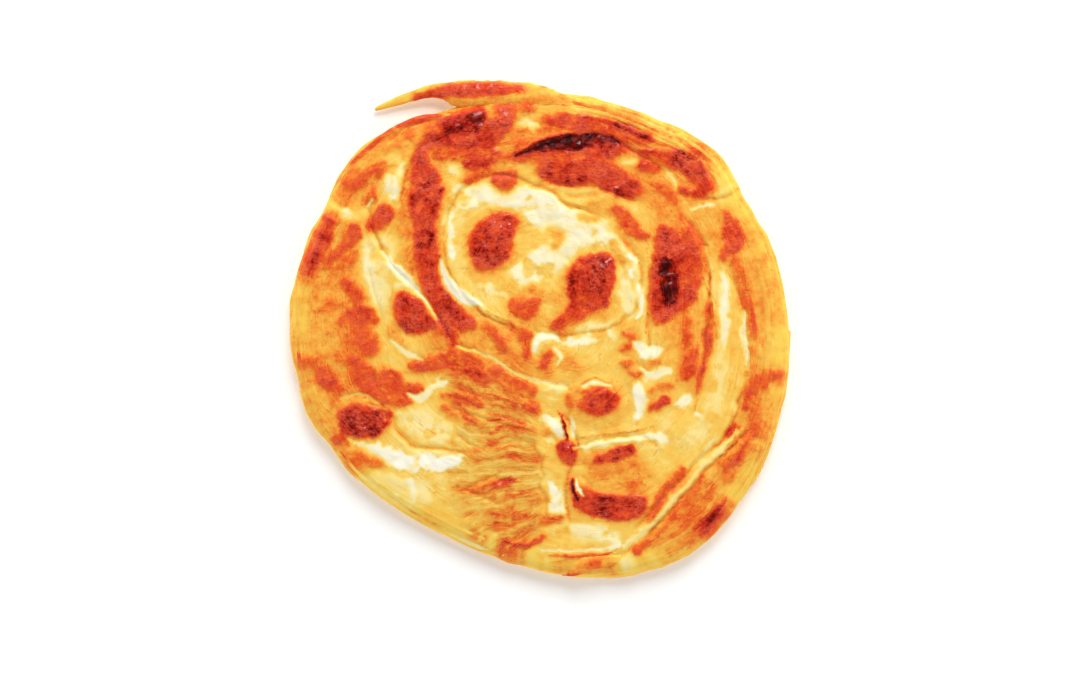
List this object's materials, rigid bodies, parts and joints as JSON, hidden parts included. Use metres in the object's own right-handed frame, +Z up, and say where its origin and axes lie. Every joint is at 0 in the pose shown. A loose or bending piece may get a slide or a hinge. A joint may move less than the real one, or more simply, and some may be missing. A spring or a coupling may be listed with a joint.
{
  "type": "paratha flatbread",
  "caption": "Round pan-fried layered flatbread lying flat, with coiled creases, browned raised pads and a loose folded lip at its rim.",
  "frame": {"origin": "under the middle of the bread, on the surface that it lies on", "axes": "+Z up through the bread's thickness, +Y towards the rim with the loose tail of dough, +X to the right of that, seen from above"},
  "size_m": [0.18, 0.1782, 0.0101],
  "materials": {
    "toasted_dough": "pan-fried wheat dough: cream to golden, browned and charred on its raised pads, with an oily satin gloss"
  },
  "bodies": {
    "root": {"paratha": "toasted_dough"}
  },
  "joints": []
}
